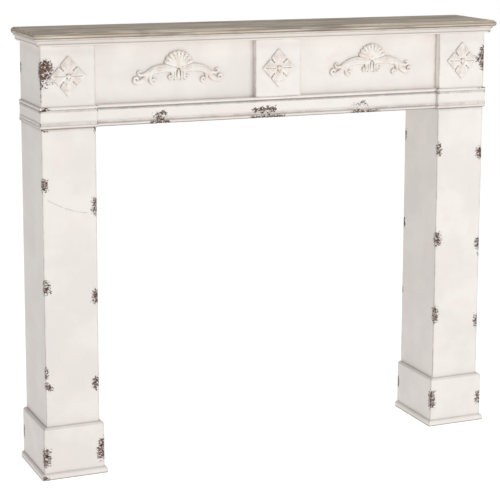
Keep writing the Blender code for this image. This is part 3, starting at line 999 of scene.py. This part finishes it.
@dataclass(frozen=True)
class Ridge:
    """A carved ridge along a line in the pattern, with half widths and heights spread over it."""

    points: list[tuple[float, float]]
    widths: tuple[float, ...]
    heights: tuple[float, ...]
    form: Form


def curve_points(handles: Sequence[tuple[float, float]], steps: int) -> list[tuple[float, float]]:
    """Points along a cubic curve.

    Args:
        handles: Start, two handles and end.
        steps: Number of steps.

    Returns:
        The points, both ends included.
    """
    points = []
    for step in range(steps + 1):
        t = step / steps
        weights = ((1 - t) ** 3, 3 * t * (1 - t) ** 2, 3 * t * t * (1 - t), t ** 3)
        pairs = list(zip(weights, handles))
        points.append(tuple(sum(weight * handle[axis] for weight, handle in pairs) for axis in range(2)))
    return points


def volute_points(
    centre: tuple[float, float], radii: tuple[float, float], start: float, sweep: float, steps: int
) -> list[tuple[float, float]]:
    """Points along a spiral.

    Args:
        centre: Its eye.
        radii: Distance from the eye at the start and at the end.
        start: First angle in degrees.
        sweep: Turn in degrees, anticlockwise if positive.
        steps: Number of steps.

    Returns:
        The points after the first.
    """
    points = []
    for step in range(1, steps + 1):
        t = step / steps
        angle = math.radians(start + sweep * t)
        reach = radii[0] + (radii[1] - radii[0]) * t
        points.append((centre[0] + reach * math.cos(angle), centre[1] + reach * math.sin(angle)))
    return points


def groove(value: np.ndarray, middle: float, width: float) -> np.ndarray:
    """A soft groove's depth from 0 to 1.

    Args:
        value: Position of each point.
        middle: Where the groove is deepest.
        width: Its half width.

    Returns:
        The depth at each point.
    """
    return np.exp(-((value - middle) / width) ** 2)


@dataclass
class Casting:
    """A cast ornament: a relief on a fine grid, cut off at its outline and closed at the back."""

    SPARE_CELLS = 3
    SMOOTH_DEGREES = 50.0
    # The next ones are millimetres in the pattern.
    PROBE = 0.05
    RIM = 0.9
    LOOK_AROUND = 1.1
    HOLLOW_DEPTH = 0.55
    RIM_HOLLOW = 0.55
    BARE_RIM = 0.3
    LEAST_SLOPE = 0.3
    LOOKS = 8

    bench: Bench
    node: str
    finish: bpy.types.Material
    grain: float = 0.62 * MM
    relief: float = 9 * MM
    edge: float = 2.5 * MM

    def carve(self, across: np.ndarray, up: np.ndarray) -> tuple[np.ndarray, np.ndarray]:
        """How far inside the outline each point lies, and the height there, both in millimetres."""
        raise NotImplementedError

    def anchor(self, low: Vector, high: Vector) -> Vector:
        """Place of the pattern's zero point on the board, from the box of the solid."""
        raise NotImplementedError

    def build(self) -> bpy.types.Object:
        """Makes the ornament.

        Returns:
            The finished ornament.
        """
        low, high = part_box(self.node)
        zero = self.anchor(low, high)
        margin = self.SPARE_CELLS * self.grain
        width, tall = high.x - low.x + 2 * margin, high.z - low.z + 2 * margin
        columns, rows = round(width / self.grain), round(tall / self.grain)
        bpy.ops.object.select_all(action="DESELECT")
        bpy.ops.mesh.primitive_grid_add(x_subdivisions=columns, y_subdivisions=rows, size=1)
        thing = bpy.context.object
        thing.name = f"cast_{self.node}"
        thing.data.name = thing.name
        mesh = thing.data
        flat = vertex_places(mesh)
        across = (low.x + high.x) / 2 + flat[:, 0] * width
        up = (low.z + high.z) / 2 + flat[:, 1] * tall
        inside = self.carve((across - zero.x) / MM, (up - zero.z) / MM)[0]
        back = np.full(len(across), zero.y)
        mesh.vertices.foreach_set("co", np.column_stack((across, back, up)).ravel())
        self.trim(mesh, inside)
        self.snap(mesh, zero)
        self.raise_relief(thing, zero)
        self.bench.pick(thing)
        bpy.ops.object.shade_smooth_by_angle(angle=math.radians(self.SMOOTH_DEGREES))
        self.bench.deliver(thing, self.node, Slot.CASTINGS, self.finish)
        return thing

    def trim(self, mesh: bpy.types.Mesh, inside: np.ndarray) -> None:
        """Deletes the cells whose middle lies outside the outline.

        Args:
            mesh: Flat grid.
            inside: Depth inside the outline at each of its points.
        """
        work = bmesh.new()
        work.from_mesh(mesh)
        work.verts.ensure_lookup_table()
        outside = [face for face in work.faces if sum(inside[vertex.index] for vertex in face.verts) <= 0]
        bmesh.ops.delete(work, geom=outside, context="FACES")
        pinched = [vertex for vertex in work.verts if sum(edge.is_boundary for edge in vertex.link_edges) > 2]
        around = list({face for vertex in pinched for face in vertex.link_faces})
        bmesh.ops.delete(work, geom=around, context="FACES")
        work.to_mesh(mesh)
        work.free()

    def snap(self, mesh: bpy.types.Mesh, zero: Vector) -> None:
        """Moves the border points onto the outline.

        Args:
            mesh: Trimmed flat grid.
            zero: Zero point of the pattern.
        """
        work = bmesh.new()
        work.from_mesh(mesh)
        border = [vertex for vertex in work.verts if vertex.is_boundary]
        across = np.array([(vertex.co.x - zero.x) / MM for vertex in border])
        up = np.array([(vertex.co.z - zero.z) / MM for vertex in border])
        step = self.PROBE
        for _ in range(2):
            inside = self.carve(across, up)[0]
            slope_x = (self.carve(across + step, up)[0] - self.carve(across - step, up)[0]) / (2 * step)
            slope_z = (self.carve(across, up + step)[0] - self.carve(across, up - step)[0]) / (2 * step)
            steep = np.maximum(slope_x ** 2 + slope_z ** 2, self.LEAST_SLOPE)
            limit = 0.5 * self.grain / MM
            across = across - np.clip(inside * slope_x / steep, -limit, limit)
            up = up - np.clip(inside * slope_z / steep, -limit, limit)
        for vertex, x_place, z_place in zip(border, across, up):
            vertex.co.x = zero.x + x_place * MM
            vertex.co.z = zero.z + z_place * MM
        work.to_mesh(mesh)
        work.free()

    def raise_relief(self, thing: bpy.types.Object, zero: Vector) -> None:
        """Extrudes the flat shape forward, lifts its face to the relief and marks its hollows.

        Args:
            thing: Flat shape at the board.
            zero: Zero point of the pattern.
        """
        self.bench.pick(thing)
        bpy.ops.object.mode_set(mode="EDIT")
        bpy.ops.mesh.select_mode(type="FACE")
        bpy.ops.mesh.select_all(action="SELECT")
        bpy.ops.mesh.extrude_region_move(TRANSFORM_OT_translate={"value": (0, -self.edge, 0)})
        bpy.ops.mesh.select_all(action="SELECT")
        bpy.ops.mesh.normals_make_consistent(inside=False)
        bpy.ops.mesh.select_all(action="DESELECT")
        bpy.ops.object.mode_set(mode="OBJECT")
        mesh = thing.data
        places = vertex_places(mesh)
        across, up = (places[:, 0] - zero.x) / MM, (places[:, 2] - zero.z) / MM
        front = places[:, 1] < zero.y - 0.5 * self.edge
        inside, height = self.carve(across, up)
        rise = np.maximum(height * MM, self.edge)
        rim = np.clip(inside / self.RIM, 0, 1)
        rise = self.edge + (rise - self.edge) * rim ** 0.5
        places[front, 1] = zero.y - rise[front]
        mesh.vertices.foreach_set("co", places.ravel())
        around = np.zeros(len(across))
        reach = self.LOOK_AROUND
        for turn in range(self.LOOKS):
            angle = math.tau * turn / self.LOOKS
            level = self.carve(across + reach * math.cos(angle), up + reach * math.sin(angle))[1]
            around += level / self.LOOKS
        # Hollow mark: lower than the relief around, the rim of the outline and the side walls; the casting's
        # paint darkens it as glazing with painted shade.
        hollow = np.clip((around - height) / self.HOLLOW_DEPTH, 0, 1)
        hollow[inside < self.BARE_RIM] = self.RIM_HOLLOW
        hollow[~front] = 1.0
        keep_marks(mesh, hollow=hollow)


@dataclass
class ShellOrnament(Casting):
    """Scallop shell between two leafy scrolls."""

    hinge: tuple[float, float] = (0.0, 31.5)
    lobes: int = 9
    lobe_turn: float = 17.5
    lobe_reach: float = 30.0
    lobe_round: float = 5.9
    hole_inset: float = 1.5
    hole_depth: float = 2.6
    hole_radius: float = 1.1
    flank_level: float = 0.3
    ridges: list[Ridge] = field(default_factory=list)

    def __post_init__(self) -> None:
        """Draws the ridges of its right half."""
        self.ridges = self.draw()

    def anchor(self, low: Vector, high: Vector) -> Vector:
        """Zero point: on the middle line, a known way below the top lobe."""
        top = self.hinge[1] + self.lobe_reach + self.lobe_round
        return Vector(((low.x + high.x) / 2, high.y, high.z - top * MM))

    def draw(self) -> list[Ridge]:
        """All ridges of the right half, in millimetres across and up.

        Returns:
            The ridges.
        """
        ridges = []
        for lobe in range(self.lobes):
            angle = math.radians(90 + self.lobe_turn * (lobe - (self.lobes - 1) / 2))
            tip = (
                self.hinge[0] + self.lobe_reach * math.cos(angle),
                self.hinge[1] + self.lobe_reach * math.sin(angle),
            )
            ridges.append(Ridge([self.hinge, tip], (3.5, self.lobe_round), (0.8, 1.0), Form.FLUTE))
        arm = curve_points(((10, 25), (34, 31.5), (56, 29), (78, 14.5)), 14)
        ridges.append(Ridge(arm, (7, 8.8, 8.8, 7.5, 5), (0.8, 0.85, 0.9, 0.8, 0.7), Form.LEAF))
        scroll = curve_points(((70, 18), (77, 5), (87, -2), (99, -2)), 8)
        scroll += volute_points((99, 5), (7, 2.5), -90, 290, 14)
        ridges.append(Ridge(scroll, (5, 6, 4.5, 3.6, 3, 2.4), (0.7, 0.75, 0.75, 0.7, 0.6), Form.SCROLL))
        tendril = curve_points(((77, 17), (84, 14), (89, 13), (93.5, 16)), 5)
        tendril += volute_points((91.5, 20), (4.2, 2.6), -50, 190, 8)
        ridges.append(Ridge(tendril, (4, 3, 2.4, 2), (0.65, 0.6, 0.5), Form.PLAIN))
        volute = curve_points(((63, 22), (68, 14), (68, 8), (66, 0.8)), 6)
        volute += volute_points((59.5, 0.8), (6.5, 2.0), 0, -400, 18)
        ridges.append(Ridge(volute, (5, 3.6, 3.2, 2.8, 2.4), (0.75, 0.7, 0.65), Form.PLAIN))
        ridges.append(Ridge([(57, 28), (49, 18.5)], (4, 2.2), (0.8, 0.55), Form.PLAIN))
        foot = curve_points(((14, 29), (16, 23), (12.5, 17), (13.2, 8)), 6)
        foot += volute_points((18.6, 8), (5.4, 2.2), 180, 300, 11)
        ridges.append(Ridge(foot, (6, 4.0, 3.2, 2.9, 2.3), (0.8, 0.75, 0.65), Form.SCROLL))
        arch = curve_points(((7.3, 2.6), (8.5, 19), (8, 29.5), (0, 31)), 8)
        ridges.append(Ridge(arch, (3.0, 2.6, 3.0), (0.65, 0.75, 0.8), Form.PLAIN))
        ridges.append(Ridge([(0, 24), (0, 6)], (2.2, 4.6), (0.7, 0.6), Form.PLAIN))
        return ridges

    def carve(self, across: np.ndarray, up: np.ndarray) -> tuple[np.ndarray, np.ndarray]:
        """How far inside the outline each point lies, and the height there.

        Args:
            across: Distance of each point from the middle line, in millimetres.
            up: Its height above the zero point, in millimetres.

        Returns:
            Depth inside the outline and height, both in millimetres.
        """
        across = np.abs(across)
        inside = np.full(across.shape, -99.0)
        height = np.zeros(across.shape)
        for ridge in self.ridges:
            depth, level = self.cut(ridge, across, up)
            inside = np.maximum(inside, depth)
            height = np.maximum(height, level)
        for gap in range(self.lobes - 1):
            angle = math.radians(90 + self.lobe_turn * (gap - (self.lobes - 2) / 2))
            reach = self.lobe_reach - self.hole_inset
            away = np.hypot(
                across - self.hinge[0] - reach * math.cos(angle), up - self.hinge[1] - reach * math.sin(angle)
            )
            height = height - self.hole_depth * np.exp(-((away / self.hole_radius) ** 4))
        return inside, height

    def cut(self, ridge: Ridge, across: np.ndarray, up: np.ndarray) -> tuple[np.ndarray, np.ndarray]:
        """One ridge, with the cuts of its form.

        Args:
            ridge: Ridge to cut.
            across: Points across.
            up: Points up.

        Returns:
            Depth inside its outline and its height at each point.
        """
        points = np.array(ridge.points, float)
        last = len(points) - 1
        stops = np.linspace(0, 1, last + 1)
        widths = np.interp(stops, np.linspace(0, 1, len(ridge.widths)), ridge.widths)
        levels = np.interp(stops, np.linspace(0, 1, len(ridge.heights)), ridge.heights)
        inside = np.full(across.shape, -99.0)
        height = np.zeros(across.shape)
        for step in range(last):
            start, run = points[step], points[step + 1] - points[step]
            share = np.clip(((across - start[0]) * run[0] + (up - start[1]) * run[1]) / (run @ run), 0, 1)
            off_x, off_z = across - start[0] - run[0] * share, up - start[1] - run[1] * share
            away = np.hypot(off_x, off_z)
            side = np.sign(run[0] * off_z - run[1] * off_x)
            width = widths[step] + (widths[step + 1] - widths[step]) * share
            top = (levels[step] + (levels[step + 1] - levels[step]) * share) * self.relief / MM
            inside = np.maximum(inside, width - away)
            place = np.clip(away / width, 0, 1)
            level = top * (self.flank_level + (1 - self.flank_level) * np.sqrt(1 - place ** 2))
            level -= self.detail(ridge.form, side * place, (step + share) / last, away)
            height = np.maximum(height, np.where(away < width, level, 0))
        return inside, height

    def detail(self, form: Form, place: np.ndarray, way: np.ndarray, away: np.ndarray) -> np.ndarray:
        """Depth of the fine cuts on a ridge, in millimetres.

        Args:
            form: What the ridge stands for.
            place: Position across it, from -1 to 1.
            way: Position along it, from 0 to 1.
            away: Distance from its line in millimetres.

        Returns:
            The depth at each point.
        """
        if form is Form.FLUTE:
            rim_cut = 0.7 * groove(way, 0.92, 0.04) * (np.abs(place) < 0.9)
            return rim_cut + 0.35 * groove(away, 0.0, 0.7) * (way < 0.85)
        if form is Form.LEAF:
            veins = groove(place, 0.42, 0.10) + groove(place, 0.0, 0.09) + groove(place, -0.45, 0.10)
            return 1.3 * veins * np.clip(way * 8, 0, 1) * np.clip((1 - way) * 6, 0, 1)
        if form is Form.SCROLL:
            return 1.0 * groove(place, 0.0, 0.22) * np.clip((1 - way) * 5, 0, 1)
        return np.zeros(place.shape)


@dataclass
class Rosette(Casting):
    """Square rosette on its point, of four leaf-like petals."""

    half: float = 44.5
    narrow: float = 0.8989
    notch_bottom: float = 19.4
    notch_half_width: float = 3.2
    petal_line: tuple[float, ...] = (0, 0.17, 0.45, 0.75, 1.0)
    petal_levels: tuple[float, ...] = (0.74, 0.78, 0.84, 0.62, 0.30)
    rib_depths: tuple[float, float] = (1.9, 0.7)
    rib_width: float = 1.2
    veins: tuple[float, ...] = (11.0, 17.5, 24.0)
    vein_slant: float = 1.15
    vein_depth: float = 0.75
    vein_width: float = 0.8
    pit_inset: float = 1.2
    pit_depth: float = 3.4
    pit_radius: float = 2.0
    boss_reach: float = 5.6
    boss_wave: float = 0.16
    boss_level: float = 0.70
    ring_depth: float = 0.8
    ring_width: float = 0.6
    relief: float = 8 * MM
    edge: float = 2.2 * MM

    def anchor(self, low: Vector, high: Vector) -> Vector:
        """Zero point: its centre."""
        return Vector(((low.x + high.x) / 2, high.y, (low.z + high.z) / 2))

    def carve(self, across: np.ndarray, up: np.ndarray) -> tuple[np.ndarray, np.ndarray]:
        """How far inside the outline each point lies, and the height there.

        Args:
            across: Distance of each point from the middle, in millimetres.
            up: Its height over the middle, in millimetres.

        Returns:
            Depth inside the outline and height, both in millimetres.
        """
        across = across / self.narrow
        first, second = np.abs(across), np.abs(up)
        out, off = np.maximum(first, second), np.minimum(first, second)
        inside = (self.half - out - off) / math.sqrt(2)
        diagonal, lateral = (out + off) / math.sqrt(2), (out - off) / math.sqrt(2)
        flare = self.notch_half_width / (self.half / math.sqrt(2) - self.notch_bottom)
        slot = (lateral - (diagonal - self.notch_bottom) * flare) / math.hypot(1, flare)
        before = np.hypot(lateral, self.notch_bottom - diagonal)
        inside = np.minimum(inside, np.where(diagonal > self.notch_bottom, slot, before))
        top = self.relief / MM
        reach = out / self.half
        spread = off / np.maximum(np.minimum(out, self.half - out), 0.4)
        crown = np.interp(reach, self.petal_line, self.petal_levels)
        height = top * crown * (1 - 0.20 * (1 - np.cos(np.pi * np.clip(spread, 0, 1))))
        fade = np.clip((reach - 0.15) * 12, 0, 1) * np.clip((0.9 - reach) * 8, 0, 1)
        height -= np.where(first > second, *self.rib_depths) * groove(off, 0.0, self.rib_width) * fade
        for vein in self.veins:
            cut = groove(out - self.vein_slant * off, vein, self.vein_width)
            height -= self.vein_depth * cut * np.clip(spread * 4, 0, 1) * (reach > 0.2)
        pit = np.hypot(lateral, diagonal - self.notch_bottom + self.pit_inset)
        height -= self.pit_depth * np.exp(-((pit / self.pit_radius) ** 4))
        middle = np.hypot(across, up)
        bulge = self.boss_reach * (1 + self.boss_wave * np.cos(4 * np.arctan2(up, across)))
        dome = np.sqrt(np.clip(1 - (middle / bulge) ** 2, 0, 1))
        boss = top * (self.boss_level + (1 - self.boss_level) * dome)
        height = np.where(middle < bulge, boss, height)
        height -= self.ring_depth * groove(middle, self.boss_reach + self.ring_width, self.ring_width)
        below = np.clip((-4.5 - up) * 2, 0, 1) * np.clip((up + 11) * 2, 0, 1)
        height -= 1.2 * groove(first - 0.9 * (up + 10.5), 0.0, 0.9) * below
        return inside, height


@dataclass(frozen=True)
class Softbox:
    """Square soft lamp: its place, the point that it faces, its width in metres and its power in watts."""

    name: str
    place: tuple[float, float, float]
    target: tuple[float, float, float]
    width: float
    power: float

    def hang(self) -> None:
        """Hangs the lamp."""
        lamp = bpy.data.lights.new(self.name, "AREA")
        lamp.shape = "SQUARE"
        lamp.size = self.width
        lamp.energy = self.power
        thing = bpy.data.objects.new(self.name, lamp)
        thing.location = self.place
        thing.rotation_euler = (Vector(self.target) - Vector(self.place)).to_track_quat("-Z", "Y").to_euler()
        bpy.context.collection.objects.link(thing)


@dataclass
class Studio:
    """Plain white floor, soft light and the camera at the photograph's view."""

    camera_place: Vector = field(default_factory=lambda: Vector((-1.51215, -3.54147, 1.31263)))
    yaw: float = 0.42652
    pitch: float = -0.16584
    roll: float = 0.00837
    focal_pixels: float = 1661.68
    frame_width: float = 500.0
    frame_height: float = 494.0
    optic_column: float = 300.0
    optic_row: float = 165.0
    sensor: float = 36.0
    surround_strength: float = 0.33
    lamps: tuple[Softbox, ...] = (
        Softbox("key_softbox", (0.7, -3.5, 1.5), (0, 0, 0.65), 2.4, 40.7),
        Softbox("overhead_softbox", (0.2, -0.6, 4.5), (0, -0.2, 0), 4.0, 45.0),
    )

    def build(self) -> None:
        """Makes the floor, the lights and the camera."""
        self.make_floor()
        self.make_lights()
        self.make_camera()

    def make_floor(self) -> None:
        """Lays the floor."""
        bpy.ops.object.select_all(action="DESELECT")
        bpy.ops.mesh.primitive_plane_add(size=60, location=(0, 0, 0))
        floor = bpy.context.object
        floor.name = "studio_floor"
        floor.data.materials.append(StudioPaper().build())

    def make_lights(self) -> None:
        """Sets an even surround that looks white to the camera, and hangs the lamps."""
        world = bpy.data.worlds.new("studio_surround")
        bpy.context.scene.world = world
        world.use_nodes = True
        tree = world.node_tree
        white = linear("FFFFFF")
        surround = tree.nodes["Background"]
        plug(tree, surround.inputs["Color"], white)
        plug(tree, surround.inputs["Strength"], self.surround_strength)
        seen = add_node(tree, "Background", {"Color": white, "Strength": 1.0})
        to_camera = add_node(tree, "LightPath", output="Is Camera Ray")
        both = add_node(tree, "MixShader", (to_camera, surround.outputs[0], seen))
        plug(tree, tree.nodes["World Output"].inputs["Surface"], both)
        for lamp in self.lamps:
            lamp.hang()

    def make_camera(self) -> None:
        """Sets the camera as it was fitted to the corners and edges of the photograph."""
        level_share = math.cos(self.pitch)
        ahead = Vector((
            math.sin(self.yaw) * level_share,
            math.cos(self.yaw) * level_share,
            math.sin(self.pitch),
        ))
        level = Vector((math.cos(self.yaw), -math.sin(self.yaw), 0))
        upright = level.cross(ahead)
        right = level * math.cos(self.roll) + upright * math.sin(self.roll)
        up = upright * math.cos(self.roll) - level * math.sin(self.roll)
        lens = bpy.data.cameras.new("photo_view")
        lens.sensor_fit = "HORIZONTAL"
        lens.sensor_width = self.sensor
        lens.lens = self.focal_pixels * self.sensor / self.frame_width
        lens.shift_x = (self.frame_width / 2 - self.optic_column) / self.frame_width
        lens.shift_y = (self.optic_row - self.frame_height / 2) / self.frame_width
        lens.clip_end = 100
        camera = bpy.data.objects.new("photo_view", lens)
        turn = Matrix((right, up, -ahead)).transposed()
        camera.matrix_world = Matrix.Translation(self.camera_place) @ turn.to_4x4()
        bpy.context.collection.objects.link(camera)
        bpy.context.scene.camera = camera
        bpy.context.scene.view_settings.view_transform = "Standard"


def main() -> None:
    """Builds the surround piece by piece, then the studio."""
    logging.basicConfig(level=logging.INFO, format="%(message)s")
    bench = Bench()
    level_paint = ChippedPaint("cream_emulsion_level", Along.LEVEL).build()
    upright_paint = ChippedPaint("cream_emulsion_upright", Along.UPRIGHT).build()
    casting = GlazedCasting().build()
    Shelf(bench, WashedWood().build()).build()
    UpperPart(bench, level_paint).build()
    for side in (-1, 1):
        Leg(bench, side, upright_paint, level_paint).build()
    for place in ("left", "centre", "right"):
        Rosette(bench, f"rosette_{place}", casting).build()
    for place in ("left", "right"):
        ShellOrnament(bench, f"shell_ornament_{place}", casting).build()
    Studio().build()


if __name__ == "__main__":
    main()
